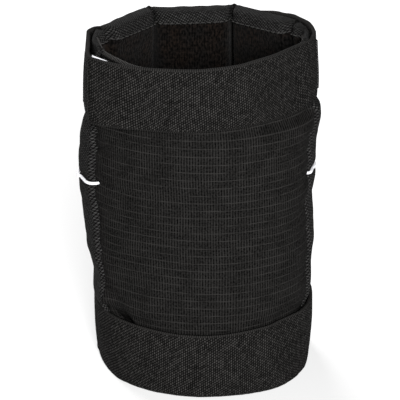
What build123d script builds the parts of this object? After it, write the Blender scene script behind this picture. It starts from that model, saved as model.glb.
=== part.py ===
from build123d import *

import os
from math import asin, cos, pi, radians, sin, sqrt

os.makedirs("parts", exist_ok=True)

# A slip-on elbow pad, in millimetres, standing on its lower hem. +Z runs up the arm, +Y points
# out of the padded elbow face, and +X is to the right as seen from behind, the elastic side.

# Padding in plan: a flat centre facet, a shoulder facet on each side of it, then the side wings
PAD_TOP = 171.5
FRONT_Y = 42.6  # outer face of the centre facet
FACET_HALF = 22.3  # half width of the centre facet
CORNER_IN = 2.5  # the shoulder's outer corner, in from the widest point
CORNER_Y = 15.7
SIDE_Y = 3.0  # the widest point of the wing
EDGE_IN = 2.0  # the wing's rear edge, in from the widest point

# The sleeve's shape at each key height. A wing is the padding's half width and the Y of its rear
# edge, which runs forwards as it goes up. The back depth is to the back of the elastic panel.
KEY_HEIGHTS = [0.0, 33.4, 100.6, 136.5, 171.5]
WINGS = [(52.3, -20.0), (53.0, -20.0), (59.2, -11.0), (56.9, -7.0), (55.0, -5.0)]
BACK_DEPTHS = [48.2, 47.2, 40.5, 37.2, 39.2]

# Layers of the padding, from the outside in
COVER = 1.0
FOAM = 8.0
LINING = 1.0
STACK = COVER + FOAM + LINING
FOAM_AT_EDGE = 7.0  # the foam thins a little towards the wing's rear edge
CREASE = 2.0  # width of the stitched channel between two foam strips
PAD_BOTTOM = 3.0  # the padding starts on top of the lower rim binding
LAYER_TOP = PAD_TOP - 1.0  # and ends under the upper one
TURN_IN = 0.7  # thickness of each rim's turned-in edge, inside the lining
TURN_DEPTH = 5.0

# Elastic
PANEL = 1.6
PANEL_IN = 6.0  # the panel is sewn to the inner side of the wing's edge, this far in
PANEL_BOTTOM = 1.5
PANEL_TOP = 167.5
BINDING = 1.2
BACK_STEPS = 12  # straight runs in the curve round the back
STRAP = 2.0
STRAP_STANDOFF = 0.8  # the straps stand this far off the elastic panel
BOTTOM_STRAP_Z = (0.0, 33.4)
TOP_STRAP_Z = (136.5, 169.9)

# Bend at the elbow: the axis runs across the front, inside the padding, at the piping
PIPING_Z = 100.6
FLEX_AXIS_Y = 38.0
FLEX_RANGE = 35.0
FLEX_GAP = 0.4  # between the lower and the upper half at the axis
FLEX_RELIEF = 1.0  # extra opening of the side notch each way, in degrees
GUSSET_GAP = 0.3
FLEX_PANEL_Z = (68.0, 133.0)  # the band of the elastic panel that folds

# Hook-and-loop closures on the centre facet
LOOP = 1.2
HOOK = 1.2
HOOK_GAP = 0.3
TAB_STANDOFF = LOOP + HOOK_GAP + HOOK
TAB_END_X = -19.0
TAB_ROUND = 4.0
PEEL_CLEARANCE = 1.4  # from the peel axis back to the strap's fixed end
PATCH_HALF = 16.5  # half width of the hook patch
LOOP_MARGIN = 2.0  # the loop patch reaches this much further on each side
PATCH_INSET = 2.0
GRIP_LENGTH = 10.0
GRIP = 3.0
GRIP_INSET = 4.5
GRIP_ROUND = 1.4

# Elbow cup
CUP_Z = 66.0
CUP_WIDTH = 39.0
CUP_HEIGHT = 58.0
CUP_CORNER = 17.0
CUP_FOAM = 7.4
CUP_TAPER = 22.0
CUP_EDGE_ROUND = 3.0
CUP_COVER = 1.0

# Small pieces
PIPING = 1.5
LABEL = 0.4
LABEL_Z = (148.0, 171.0)
LABEL_RUNS = 2
TACK_THICKNESS = 0.6
TACK_MARGIN = 4.0
TACK_SHARES = (0.5, 0.75)  # of the way from the widest point to the wing's rear edge


def normal_after(way):
    """The inward normal of a run that goes clockwise round the sleeve."""
    return Vector(way.Y, -way.X)


def offset_inwards(points, depths):
    """Points moved inwards along the mitre of their two runs, or outwards by a negative depth."""
    ways = [(b - a).normalized() for a, b in zip(points, points[1:])]
    moved = []
    for point, depth, before, after in zip(points, depths, ways[:1] + ways, ways + ways[-1:]):
        first, second = normal_after(before), normal_after(after)
        moved.append(point + (first + second) * (depth / (1 + first.dot(second))))
    return moved


def pad_outline(wing):
    """Outer outline of the padding, from the left wing's rear edge round the front to the right's."""
    half_width, edge_y = wing
    right = [
        Vector(FACET_HALF, FRONT_Y),
        Vector(half_width - CORNER_IN, CORNER_Y),
        Vector(half_width, SIDE_Y),
        Vector(half_width - EDGE_IN, edge_y),
    ]
    return [Vector(-p.X, p.Y) for p in reversed(right)] + right


def back_outline(wing, back_depth, inwards):
    """An outline round the back, from the right wing's binding to the left's, so far in from its face."""
    side, edge = pad_outline(wing)[-2:]
    way = (edge - side).normalized()
    start = edge + way * BINDING + normal_after(way) * inwards
    half_x = start.X / sqrt(1 - (start.Y / back_depth) ** 2)
    first = asin(-start.Y / back_depth)
    step = (pi - 2 * first) / BACK_STEPS
    turns = [first + step * i for i in range(BACK_STEPS + 1)]
    return [Vector(half_x * cos(turn), -back_depth * sin(turn)) for turn in turns]


def at_height(z, section):
    """A plan section at any height, in straight lines between the key heights."""
    sections = [section(wing, back) for wing, back in zip(WINGS, BACK_DEPTHS)]
    for i, (low, high) in enumerate(zip(KEY_HEIGHTS, KEY_HEIGHTS[1:])):
        if z <= high:
            share = (z - low) / (high - low)
            return [a + (b - a) * share for a, b in zip(sections[i], sections[i + 1])]


def stacked(section, z_range):
    """A solid between two heights whose plan follows the key heights."""
    low, high = z_range
    heights = [low] + [key for key in KEY_HEIGHTS if low < key < high] + [high]
    with BuildPart() as solid:
        for z in heights:
            with BuildSketch(Plane.XY.offset(z)):
                with BuildLine():
                    Polyline(*at_height(z, section), close=True)
                make_face()
        loft(ruled=True)
    return solid.part


def save(piece, name):
    piece.part.label = name
    export_step(piece.part, f"parts/{name}.step")


def save_stacked(name, section, z_range):
    """One piece in a block of its own, straight from its plan."""
    shape = stacked(section, z_range)
    with BuildPart() as piece:
        add(shape)
    save(piece, name)


# ---- Plan sections of the padding's layers ----------------------------------------------------


def layer_depths(depth):
    """The depth of a layer's face at each of the eight points, less at the wings' thin edges."""
    at_edge = depth if depth <= COVER else depth - FOAM + FOAM_AT_EDGE
    return [at_edge] + [depth] * 6 + [at_edge]


def layer_section(outer, inner):
    def section(wing, back_depth):
        outline = pad_outline(wing)
        near = offset_inwards(outline, layer_depths(outer))
        far = offset_inwards(outline, layer_depths(inner))
        return near + far[::-1]

    return section


def foam_section(first, last):
    """One foam strip between two of the outline's points, kept clear of the stitched creases."""

    def section(wing, back_depth):
        outline = pad_outline(wing)
        near = offset_inwards(outline, layer_depths(COVER))[first : last + 1]
        far = offset_inwards(outline, layer_depths(COVER + FOAM))[first : last + 1]
        for side in (near, far):
            start_way = (side[1] - side[0]).normalized()
            end_way = (side[-2] - side[-1]).normalized()
            if first > 0:
                side[0] = side[0] + start_way * (CREASE / 2)
            if last < len(outline) - 1:
                side[-1] = side[-1] + end_way * (CREASE / 2)
        return near + far[::-1]

    return section


def binding_section(right):
    """The tape folded over a wing's rear edge."""

    def section(wing, back_depth):
        outline = pad_outline(wing)
        side, edge = (outline[-2], outline[-1]) if right else (outline[1], outline[0])
        way = (edge - side).normalized()
        inwards = normal_after(way) if right else normal_after(way) * -1
        depth = COVER + FOAM_AT_EDGE + LINING
        return [edge, edge + way * BINDING, edge + way * BINDING + inwards * depth, edge + inwards * depth]

    return section


def panel_section(gap):
    """The elastic panel, its ends flat against the bindings or a little clear of them."""

    def section(wing, back_depth):
        side, edge = pad_outline(wing)[-2:]
        way = (edge - side).normalized()
        outline = back_outline(wing, back_depth, PANEL_IN)
        inner = offset_inwards(outline, [PANEL] * len(outline))
        outline[0] = outline[0] + way * gap
        inner[0] = outline[0] + normal_after(way) * PANEL
        outline[-1] = Vector(-outline[0].X, outline[0].Y)
        inner[-1] = Vector(-inner[0].X, inner[0].Y)
        return outline + inner[::-1]

    return section


# ---- The flex line ----------------------------------------------------------------------------


def flex_plane(side, gap):
    """A face of the side notch: side is -1 on the lower half and 1 on the upper, normal upwards."""
    tilt = radians(FLEX_RANGE / 2 + FLEX_RELIEF) * side
    return Plane(
        origin=(0, FLEX_AXIS_Y, PIPING_Z + side * gap),
        x_dir=(1, 0, 0),
        z_dir=(0, sin(tilt), cos(tilt)),
    )


def level_plane(side):
    return Plane.XY.offset(PIPING_Z + side * FLEX_GAP / 2)


def save_half(name, section, z_range, side):
    """A piece of the padding, cut off at the flex line."""
    shape = stacked(section, z_range)
    keep = Keep.TOP if side > 0 else Keep.BOTTOM
    with BuildPart() as piece:
        add(shape)
        split(bisect_by=flex_plane(side, FLEX_GAP / 2), keep=keep)
        split(bisect_by=level_plane(side), keep=keep)
    save(piece, name)


FOAM_STRIPS = {
    "wing_foam_left": (0, 2),
    "foam_left": (2, 3),
    "foam_centre": (3, 4),
    "foam_right": (4, 5),
    "wing_foam_right": (5, 7),
}
for half_name, side, pad_range in (
    ("forearm", -1, (PAD_BOTTOM, PAD_TOP)),
    ("upper", 1, (PAD_BOTTOM, LAYER_TOP)),
):
    save_half(f"{half_name}_cover", layer_section(0, COVER), pad_range, side)
    save_half(f"{half_name}_lining", layer_section(COVER + FOAM, STACK), pad_range, side)
    for strip_name, (first, last) in FOAM_STRIPS.items():
        save_half(f"{half_name}_{strip_name}", foam_section(first, last), pad_range, side)
    for side_name in ("left", "right"):
        binding = binding_section(side_name == "right")
        save_half(f"{half_name}_edge_binding_{side_name}", binding, pad_range, side)

# Soft wedges of the same padding fill the notches, one on each side, and fold as the elbow bends
NOTCH_FRONT_Y = 32.0  # ahead of this the notch is too thin to need filling


def save_gusset(name, keep_side):
    shape = stacked(layer_section(0, STACK), (PAD_BOTTOM, PAD_TOP))
    with BuildPart() as gusset:
        add(shape)
        split(bisect_by=flex_plane(-1, FLEX_GAP / 2 - GUSSET_GAP), keep=Keep.TOP)
        split(bisect_by=flex_plane(1, FLEX_GAP / 2 - GUSSET_GAP), keep=Keep.BOTTOM)
        split(bisect_by=Plane.XZ.offset(-NOTCH_FRONT_Y), keep=Keep.TOP)
        split(bisect_by=Plane.YZ, keep=keep_side)
    save(gusset, name)


save_gusset("flex_gusset_left", Keep.BOTTOM)
save_gusset("flex_gusset_right", Keep.TOP)

# ---- Elastic panel at the back ----------------------------------------------------------------

save_stacked("rear_panel_lower", panel_section(0), (PANEL_BOTTOM, FLEX_PANEL_Z[0]))
save_stacked("rear_panel_flex", panel_section(GUSSET_GAP), (FLEX_PANEL_Z[0], FLEX_PANEL_Z[1] - FLEX_GAP))
save_stacked("rear_panel_upper", panel_section(0), (FLEX_PANEL_Z[1], PANEL_TOP))

# ---- Rims -------------------------------------------------------------------------------------


def rim_section(wing, back_depth):
    """The binding over the whole thickness of the padding, with its turned-in edge."""
    outline = pad_outline(wing)
    far = offset_inwards(outline, [depth + TURN_IN for depth in layer_depths(STACK)])
    return outline + far[::-1]


def turn_section(wing, back_depth):
    outline = pad_outline(wing)
    near = offset_inwards(outline, layer_depths(STACK))
    far = offset_inwards(outline, [depth + TURN_IN for depth in layer_depths(STACK)])
    return near + far[::-1]


def save_rim(name, rim_range, turn_range):
    rim, turned_edge = stacked(rim_section, rim_range), stacked(turn_section, turn_range)
    with BuildPart() as binding:
        add(rim)
        add(turned_edge)
    save(binding, name)


save_rim("bottom_rim_binding", (0, PAD_BOTTOM), (PAD_BOTTOM, PAD_BOTTOM + TURN_DEPTH))
save_rim("top_rim_binding", (LAYER_TOP, PAD_TOP), (LAYER_TOP - TURN_DEPTH, LAYER_TOP))

# ---- Straps -----------------------------------------------------------------------------------


def strap_path(wing, back_depth):
    """Round the back, from the right front corner to the left one, on the padding's outer face."""
    pad = pad_outline(wing)
    corner, shoulder = pad[4], pad[5]
    start = corner + (shoulder - corner).normalized() * PEEL_CLEARANCE
    return [start] + pad[5:] + back_outline(wing, back_depth, 0) + pad[:4]


def strap_section(wing, back_depth):
    path = strap_path(wing, back_depth)
    # It stands off the front corner by the closure's thickness, and off the elastic panel
    at_back = [-STRAP_STANDOFF] * (BACK_STEPS + 1)
    near = [-TAB_STANDOFF] + [0] * 3 + at_back + [0] * 4
    inner = offset_inwards(path, near)
    outer = offset_inwards(path, [depth - STRAP for depth in near])
    return inner + outer[::-1]


def peel_axis(z):
    """Where a strap's free end hinges, at the middle of the strap's thickness."""

    def section(wing, back_depth):
        outline = pad_outline(wing)
        return [offset_inwards(outline, [-TAB_STANDOFF - STRAP / 2] * len(outline))[4]]

    return at_height(z, section)[0]


def block(x_range, y_range, z_range):
    """An upright block between two corners."""
    sizes = [high - low for low, high in (x_range, y_range, z_range)]
    centre = [(high + low) / 2 for low, high in (x_range, y_range, z_range)]
    return Pos(*centre) * Box(*sizes)


def save_patch(name, x_range, y_range, z_range):
    patch_shape = block(x_range, y_range, z_range)
    with BuildPart() as patch:
        add(patch_shape)
    save(patch, name)


def save_strap(name, z_range):
    """A strap with its free end, its pull grip and the two halves of its hook-and-loop closure."""
    low, high = z_range
    save_stacked(f"{name}_strap", strap_section, z_range)
    axis = peel_axis(low)
    tab_height = high - low
    with BuildPart() as tab:
        with BuildSketch(Plane.XY.offset(low)):
            with BuildLine():
                Line((TAB_END_X, axis.Y - STRAP / 2), (axis.X, axis.Y - STRAP / 2))
                ThreePointArc(
                    (axis.X, axis.Y - STRAP / 2),
                    (axis.X + STRAP / 2, axis.Y),
                    (axis.X, axis.Y + STRAP / 2),
                )
                Line((axis.X, axis.Y + STRAP / 2), (TAB_END_X, axis.Y + STRAP / 2))
                Line((TAB_END_X, axis.Y + STRAP / 2), (TAB_END_X, axis.Y - STRAP / 2))
            make_face()
        extrude(amount=tab_height)
        free_corners = tab.edges().filter_by(Axis.Y).group_by(Axis.X)[0]
        fillet(free_corners, radius=TAB_ROUND)
    save(tab, f"{name}_strap_tab")
    patch_z = (low + PATCH_INSET, high - PATCH_INSET)
    loop_y = (FRONT_Y, FRONT_Y + LOOP)
    hook_y = (FRONT_Y + LOOP + HOOK_GAP, FRONT_Y + TAB_STANDOFF)
    loop_half = PATCH_HALF + LOOP_MARGIN
    save_patch(f"{name}_loop_patch", (-loop_half, loop_half), loop_y, patch_z)
    save_patch(f"{name}_hook_patch", (-PATCH_HALF, PATCH_HALF), hook_y, patch_z)
    with BuildPart() as grip:
        with BuildSketch(Plane.YZ.offset(TAB_END_X - GRIP_LENGTH)):
            with Locations((axis.Y, (low + high) / 2)):
                RectangleRounded(GRIP, tab_height - 2 * GRIP_INSET, GRIP_ROUND)
        extrude(amount=GRIP_LENGTH)
    save(grip, f"{name}_strap_grip")


save_strap("bottom", BOTTOM_STRAP_Z)
save_strap("top", TOP_STRAP_Z)


def save_tacks(name, z_range):
    """The sewn bars that hold a strap to both side wings, outside the strap."""
    tack_range = (z_range[0] + TACK_MARGIN, z_range[1] - TACK_MARGIN)

    def tack_section(first, shares):
        def section(wing, back_depth):
            outline = offset_inwards(pad_outline(wing), [-STRAP] * 8)
            start, end = outline[first], outline[first + 1]
            way = (end - start).normalized()
            sewn = [start + (end - start) * share for share in shares]
            proud = [point - normal_after(way) * TACK_THICKNESS for point in sewn]
            return sewn + proud[::-1]

        return section

    near, far = TACK_SHARES
    left = stacked(tack_section(0, (1 - far, 1 - near)), tack_range)
    right = stacked(tack_section(6, (near, far)), tack_range)
    with BuildPart() as tacks:
        add(left)
        add(right)
    save(tacks, name)


save_tacks("bottom_bar_tacks", BOTTOM_STRAP_Z)
save_tacks("top_bar_tacks", TOP_STRAP_Z)

# ---- Piping, label and elbow cup --------------------------------------------------------------


def piping_section(wing, back_depth):
    outline = pad_outline(wing)
    near = offset_inwards(outline, [-GUSSET_GAP] * len(outline))
    far = offset_inwards(outline, [-GUSSET_GAP - PIPING] * len(outline))
    return near + far[::-1]


save_stacked("white_piping", piping_section, (PIPING_Z - PIPING / 2, PIPING_Z + PIPING / 2))


def label_section(wing, back_depth):
    """A short run of tape on the left, between the elastic panel and the strap."""
    outline = back_outline(wing, back_depth, 0)
    gap = (STRAP_STANDOFF - LABEL) / 2
    last = len(outline) - 1  # the last run, at the wing's binding, stays clear
    near = offset_inwards(outline, [-gap] * len(outline))[last - 1 - LABEL_RUNS : last]
    far = offset_inwards(outline, [-gap - LABEL] * len(outline))[last - 1 - LABEL_RUNS : last]
    return near + far[::-1]


save_stacked("size_label", label_section, LABEL_Z)

front_plane = Plane(origin=(0, FRONT_Y, CUP_Z), x_dir=(1, 0, 0), z_dir=(0, 1, 0))
with BuildPart() as elbow_cup_foam:
    with BuildSketch(front_plane):
        RectangleRounded(CUP_WIDTH, CUP_HEIGHT, CUP_CORNER)
    extrude(amount=CUP_FOAM, taper=CUP_TAPER)
    fillet(elbow_cup_foam.faces().sort_by(Axis.Y)[-1].edges(), radius=CUP_EDGE_ROUND)
save(elbow_cup_foam, "elbow_cup_foam")

with BuildPart() as elbow_cup_cover:
    with BuildSketch(front_plane):
        RectangleRounded(CUP_WIDTH + 2 * CUP_COVER, CUP_HEIGHT + 2 * CUP_COVER, CUP_CORNER + CUP_COVER)
    extrude(amount=CUP_FOAM + CUP_COVER, taper=CUP_TAPER)
    fillet(elbow_cup_cover.faces().sort_by(Axis.Y)[-1].edges(), radius=CUP_EDGE_ROUND)
    add(elbow_cup_foam.part, mode=Mode.SUBTRACT)
save(elbow_cup_cover, "elbow_cup_cover")

for name, (low, high) in (("bottom", BOTTOM_STRAP_Z), ("top", TOP_STRAP_Z)):
    axis = peel_axis(low)
    print(f"{name} strap peel axis: x {axis.X:.3f}, y {axis.Y:.3f}")
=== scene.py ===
import math

import bpy
import numpy as np
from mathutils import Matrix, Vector


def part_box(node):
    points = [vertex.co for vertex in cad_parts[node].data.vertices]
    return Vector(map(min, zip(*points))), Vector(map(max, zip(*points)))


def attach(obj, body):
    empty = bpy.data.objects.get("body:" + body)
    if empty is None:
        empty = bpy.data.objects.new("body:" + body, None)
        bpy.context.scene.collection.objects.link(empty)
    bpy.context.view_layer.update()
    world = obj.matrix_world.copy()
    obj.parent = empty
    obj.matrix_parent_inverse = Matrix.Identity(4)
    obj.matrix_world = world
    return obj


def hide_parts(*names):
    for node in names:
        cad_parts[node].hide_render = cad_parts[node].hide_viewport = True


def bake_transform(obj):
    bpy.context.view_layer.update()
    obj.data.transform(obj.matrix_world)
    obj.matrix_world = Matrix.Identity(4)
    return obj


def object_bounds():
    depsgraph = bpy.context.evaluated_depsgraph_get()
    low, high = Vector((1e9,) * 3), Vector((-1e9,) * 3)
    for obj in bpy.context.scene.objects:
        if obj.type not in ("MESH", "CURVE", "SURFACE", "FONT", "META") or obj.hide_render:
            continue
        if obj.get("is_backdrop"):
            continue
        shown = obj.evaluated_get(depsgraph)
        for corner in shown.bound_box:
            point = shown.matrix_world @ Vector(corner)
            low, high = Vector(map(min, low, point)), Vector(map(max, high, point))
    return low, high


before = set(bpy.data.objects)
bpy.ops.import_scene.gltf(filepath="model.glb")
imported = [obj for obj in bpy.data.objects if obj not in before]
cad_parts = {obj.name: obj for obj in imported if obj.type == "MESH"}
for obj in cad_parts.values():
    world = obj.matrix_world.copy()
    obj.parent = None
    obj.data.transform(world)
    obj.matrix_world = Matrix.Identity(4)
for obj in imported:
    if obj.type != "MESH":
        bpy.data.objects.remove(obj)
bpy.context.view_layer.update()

# Everything below is worked out in millimetres, in the CAD frame, and turned into metres in a mesh.
MM = 0.001


def cad(node, corner, axis):
    """One face of a CAD node's box, in millimetres."""
    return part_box(node)[corner][axis] / MM


def cad_corners(node):
    """The low and the high corner of a CAD node's box, in millimetres."""
    return [np.array([cad(node, corner, axis) for axis in range(3)]) for corner in (0, 1)]


FRONT_Y = cad("forearm_cover", 1, 1)
PAD_TOP = cad("top_rim_binding", 1, 2)
PIPING_Z = (cad("white_piping", 0, 2) + cad("white_piping", 1, 2)) / 2
STRAP_Z = {name: (cad(f"{name}_strap", 0, 2), cad(f"{name}_strap", 1, 2)) for name in ("top", "bottom")}
PANEL_TOP = cad("rear_panel_upper", 1, 2)


# ---- Small geometry helpers -------------------------------------------------------------------


def smooth_step(x, low, high):
    t = np.clip((x - low) / (high - low), 0, 1)
    return t * t * (3 - 2 * t)


def ripple(u, v, seed):
    """A repeatable gentle noise in about -1 to 1, made of a few crossed waves."""
    total = 0
    for k in range(5):
        a = 1.7 * seed + 2.4 * k
        total = total + np.sin((u * np.cos(a) + v * np.sin(a)) * (1 + 0.37 * k) + 3.1 * a)
    return total / 3.2


def profile(knots):
    """A smooth curve through (height, value) knots."""
    heights, values = (np.array(column, float) for column in zip(*knots))
    slopes = np.gradient(values, heights)

    def at(z):
        z = np.clip(z, heights[0], heights[-1])
        i = np.clip(np.searchsorted(heights, z) - 1, 0, len(heights) - 2)
        span = heights[i + 1] - heights[i]
        t = (z - heights[i]) / span
        return (
            values[i] * (1 + 2 * t) * (1 - t) ** 2
            + slopes[i] * span * t * (1 - t) ** 2
            + values[i + 1] * t * t * (3 - 2 * t)
            + slopes[i + 1] * span * t * t * (t - 1)
        )

    return at


def distances(points):
    """How far along a path each of its points is."""
    return np.concatenate([[0], np.cumsum(np.linalg.norm(np.diff(points, axis=0), axis=1))])


def along(places, run, points):
    """Points at places along a path, from the path's points and how far along each of them is."""
    return np.stack([np.interp(places, run, column) for column in np.asarray(points, float).T], axis=1)


def spline(points, count):
    """A smooth curve through a few plan points, evenly spaced where a count is given."""
    p = np.array(points, float)
    p = np.vstack([2 * p[0] - p[1], p, 2 * p[-1] - p[-2]])
    dense = []
    for a, b, c, d in zip(p, p[1:], p[2:], p[3:]):
        t = np.linspace(0, 1, 24, endpoint=False)[:, None]
        dense.append(
            0.5 * (2 * b + (c - a) * t + (2 * a - 5 * b + 4 * c - d) * t**2 + (3 * b - a - 3 * c + d) * t**3)
        )
    dense = np.vstack(dense + [p[-2:-1]])
    if count is None:
        return dense
    length = distances(dense)
    return along(np.linspace(0, length[-1], count), length, dense)


def unit(vectors):
    return vectors / np.maximum(np.linalg.norm(vectors, axis=-1, keepdims=True), 1e-9)


def make_mesh(name, verts, faces, uvs=None, material=None):
    """A mesh object from points in millimetres, with its weave coordinates in millimetres."""
    mesh = bpy.data.meshes.new(name)
    mesh.from_pydata((np.asarray(verts, float) * MM).tolist(), [], [list(map(int, f)) for f in faces])
    if uvs is not None:
        layer = mesh.uv_layers.new(name="weave")
        corners = np.array([loop.vertex_index for loop in mesh.loops])
        layer.data.foreach_set("uv", np.asarray(uvs, float)[corners].ravel())
    mesh.validate()
    mesh.shade_smooth()
    piece = bpy.data.objects.new(name, mesh)
    bpy.context.scene.collection.objects.link(piece)
    if material is not None:
        mesh.materials.append(material)
    return piece


def dress(piece, body=None, nodes=()):
    """Puts a piece on the body it rides on and hides the CAD nodes it stands for."""
    if body:
        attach(piece, body)
    if nodes:
        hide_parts(*nodes)
    return piece


def grid_faces(rows, columns, flip=False, closed=False):
    """Quads between rows of points, and from the last column to the first where they are closed."""
    across = columns if closed else columns - 1
    faces = []
    for r in range(rows - 1):
        for c in range(across):
            a, b = r * columns + c, r * columns + (c + 1) % columns
            quad = (a, b, b + columns, a + columns)
            faces.append(quad[::-1] if flip else quad)
    return faces


def cap_faces(rings, count):
    """The end faces of a run of closed rings."""
    return [tuple(range(count))[::-1], tuple(range((rings - 1) * count, rings * count))]


def row_uvs(run, heights):
    """Weave coordinates of rows that share their distances along and have one height each."""
    return np.column_stack([np.tile(run, len(heights)), np.repeat(heights, len(run))])


def solidify(piece, thickness):
    """Gives a skin its cloth thickness, on the side away from its normals."""
    modifier = piece.modifiers.new("cloth thickness", "SOLIDIFY")
    modifier.thickness = thickness * MM
    modifier.offset = -1
    modifier.use_even_offset = False
    return piece


def tube(path, radius, sides=8):
    """Verts, faces and weave coordinates of a round tube with closed ends."""
    path = np.asarray(path, float)
    way = unit(np.gradient(path, axis=0))
    side = unit(np.cross(way, np.array([0.0, 0.0, 1.0]) + 1e-3))
    up = np.cross(side, way)
    turn = np.linspace(0, 2 * np.pi, sides, endpoint=False)
    ring = np.cos(turn)[None, :, None] * side[:, None] + np.sin(turn)[None, :, None] * up[:, None]
    radii = np.broadcast_to(np.asarray(radius, float), (len(path),))
    verts = (path[:, None] + ring * radii[:, None, None]).reshape(-1, 3)
    faces = grid_faces(len(path), sides, closed=True) + cap_faces(len(path), sides)
    run = distances(path)
    uvs = np.stack([np.repeat(run, sides), np.tile(turn * np.max(radii), len(path))], axis=1)
    return verts, faces, uvs


class Heap:
    """Gathers many small solids into one mesh."""

    def __init__(self):
        self.verts, self.faces, self.uvs, self.count = [], [], [], 0

    def add(self, verts, faces, uvs):
        self.verts.append(verts)
        self.uvs.append(uvs)
        self.faces += [tuple(i + self.count for i in face) for face in faces]
        self.count += len(verts)

    def make(self, name, material):
        return make_mesh(name, np.vstack(self.verts), self.faces, np.vstack(self.uvs), material)


def stitch_along(heap, path, normals, stitch=2.6, gap=0.9, radius=0.28, lift=0.12):
    """A row of sewn stitches, each a short thread that dips into the cloth at both ends."""
    path, normals = np.asarray(path, float), np.asarray(normals, float)
    run = distances(path)
    for start in np.arange(gap, run[-1] - stitch, stitch + gap):
        places = start + stitch * np.linspace(0, 1, 5)
        points, out = along(places, run, path), unit(along(places, run, normals))
        arch = np.array([-0.5, 0.7, 1.0, 0.7, -0.5])[:, None] * radius + lift
        thread = np.array([0.55, 1.0, 1.0, 1.0, 0.55]) * radius
        heap.add(*tube(points + out * arch, thread, sides=5))


# ---- Materials --------------------------------------------------------------------------------


class Paint:
    """A node material that is built up in a few short calls."""

    def __init__(self, name, roughness=0.9, specular=0.15, sheen=0.0):
        self.material = bpy.data.materials.new(name)
        self.material.use_nodes = True
        self.tree = self.material.node_tree
        self.shader = self.tree.nodes["Principled BSDF"]
        self.shader.inputs["Roughness"].default_value = roughness
        self.shader.inputs["Specular IOR Level"].default_value = specular
        self.shader.inputs["Sheen Weight"].default_value = sheen
        self.shader.inputs["Sheen Roughness"].default_value = 0.6
        weave = self.node("ShaderNodeUVMap")
        weave.uv_map = "weave"
        split = self.node("ShaderNodeSeparateXYZ")
        self.tree.links.new(weave.outputs[0], split.inputs[0])
        self.weave, self.u, self.v = weave.outputs[0], split.outputs[0], split.outputs[1]

    def node(self, kind):
        return self.tree.nodes.new(kind)

    def put(self, socket, value):
        if isinstance(value, bpy.types.NodeSocket):
            self.tree.links.new(value, socket)
        elif value is not None:
            socket.default_value = value

    def math(self, operation, a, b=None, c=None):
        node = self.node("ShaderNodeMath")
        node.operation = operation
        for socket, value in zip(node.inputs, (a, b, c)):
            self.put(socket, value)
        return node.outputs[0]

    def times(self, a, b):
        return self.math("MULTIPLY", a, b)

    def times_plus(self, a, b, c):
        return self.math("MULTIPLY_ADD", a, b, c)

    def wave(self, coordinate, pitch):
        """A sine along a coordinate, one full wave each pitch in millimetres."""
        return self.math("SINE", self.times(coordinate, 2 * math.pi / pitch))

    def from_seam(self, place):
        """How far each point is from the stitched channels at a distance either side of the middle."""
        return self.math("ABSOLUTE", self.math("SUBTRACT", self.math("ABSOLUTE", self.u), place))

    def noise(self, scale, detail=2.0, stretch=(1, 1, 1)):
        """Noise in the weave's millimetres: scale is roughly the size of one blot."""
        place = self.node("ShaderNodeMapping")
        self.put(place.inputs["Vector"], self.weave)
        place.inputs["Scale"].default_value = [s / scale for s in stretch]
        texture = self.node("ShaderNodeTexNoise")
        self.put(texture.inputs["Vector"], place.outputs[0])
        texture.inputs["Scale"].default_value = 1.0
        texture.inputs["Detail"].default_value = detail
        return texture.outputs["Fac"]

    def span(self, value, low, high, to_low=0.0, to_high=1.0):
        node = self.node("ShaderNodeMapRange")
        node.interpolation_type = "SMOOTHSTEP"
        for socket, v in zip(node.inputs, (value, low, high, to_low, to_high)):
            self.put(socket, v)
        return node.outputs[0]

    def tufts(self, u, v, column, row, slant, full, own_share):
        """A weave's tone and relief: staggered cells in upright columns, each of its own lightness.

        A tuft reaches its full height this share of the way in from each side of its cell.
        """
        across = self.math("DIVIDE", u, column)
        number = self.math("FLOOR", across)
        inside_u = self.math("FRACT", across)
        stagger = self.times(self.math("FLOORED_MODULO", number, 2.0), 0.5)
        level = self.math("ADD", self.math("DIVIDE", v, row), stagger)
        level = self.times_plus(inside_u, slant, level)
        inside_v = self.math("FRACT", level)
        cell = self.node("ShaderNodeCombineXYZ")
        self.put(cell.inputs[0], number)
        self.put(cell.inputs[1], self.math("FLOOR", level))
        own = self.node("ShaderNodeTexWhiteNoise")
        own.noise_dimensions = "2D"
        self.put(own.inputs["Vector"], cell.outputs[0])
        across_tuft, up_tuft = (
            self.span(self.math("PINGPONG", self.times(inside, 2.0), 1.0), 0.0, rise)
            for inside, rise in zip((inside_u, inside_v), full)
        )
        bump = self.times(across_tuft, up_tuft)
        lightness = self.times_plus(own.outputs["Value"], own_share, 0.7 - own_share / 2)
        return self.times(bump, lightness), bump

    def mix(self, factor, a, b):
        node = self.node("ShaderNodeMix")
        node.data_type = "RGBA"
        self.put(node.inputs["Factor"], factor)
        for socket, value in ((node.inputs[6], a), (node.inputs[7], b)):
            self.put(socket, value if isinstance(value, bpy.types.NodeSocket) else (*value, 1.0))
        return node.outputs[2]

    def finish(self, colour, height=None, depth=0.2, strength=0.8, roughness=None):
        """Sets the colour and a bump whose relief is depth millimetres."""
        if isinstance(colour, bpy.types.NodeSocket):
            self.put(self.shader.inputs["Base Color"], colour)
        else:
            self.shader.inputs["Base Color"].default_value = (*colour, 1.0)
        if height is not None:
            bump = self.node("ShaderNodeBump")
            bump.inputs["Strength"].default_value = strength
            bump.inputs["Distance"].default_value = depth * MM
            self.put(bump.inputs["Height"], height)
            self.put(self.shader.inputs["Normal"], bump.outputs[0])
        if roughness is not None:
            self.put(self.shader.inputs["Roughness"], roughness)
        return self.material


def grey(value, warmth=0.04):
    """A near-black a little warmer than neutral."""
    return (value * (1 + warmth), value, value * (1 - warmth))


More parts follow.
